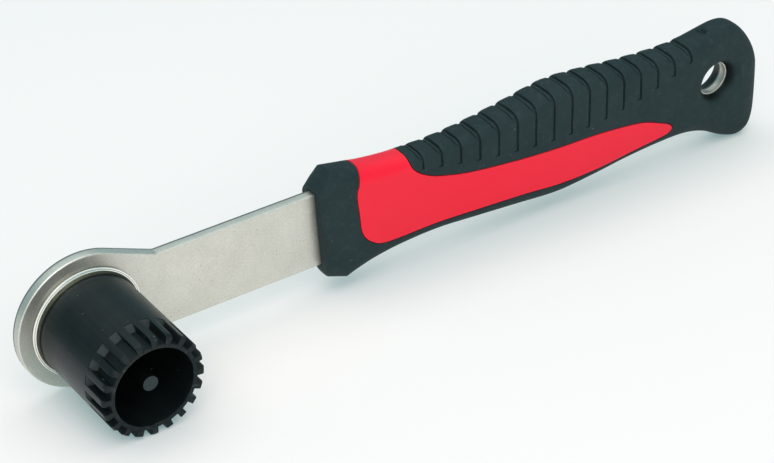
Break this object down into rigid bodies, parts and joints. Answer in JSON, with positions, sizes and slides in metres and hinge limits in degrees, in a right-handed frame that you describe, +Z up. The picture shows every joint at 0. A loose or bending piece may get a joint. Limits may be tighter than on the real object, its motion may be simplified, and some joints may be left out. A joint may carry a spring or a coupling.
{
  "type": "bottom bracket tool",
  "caption": "Splined steel socket with a guide pin, seated on the round eye of a flat steel lever with a two-colour moulded grip and a hanging hole.",
  "frame": {"origin": "centre of the bounding box at its base, on the surface the tool lies on", "axes": "+X along the lever from the socket's eye to the butt of the grip, +Z up, the socket's mouth toward -Y and leaning a little down"},
  "size_m": [0.2676, 0.0495, 0.0434],
  "materials": {
    "satin_nickel": "satin nickel plate",
    "bright_nickel": "bright nickel plate",
    "black_oxide": "satin black oxide",
    "grey_steel": "dull grey steel",
    "red_plastic": "semi-gloss red",
    "black_rubber": "matt charcoal"
  },
  "bodies": {
    "root": {"lever_plate": "satin_nickel", "seat_ring": "bright_nickel", "splined_socket": "black_oxide", "guide_pin": "grey_steel", "handle_core": "red_plastic", "rubber_grip": "black_rubber"}
  },
  "joints": []
}
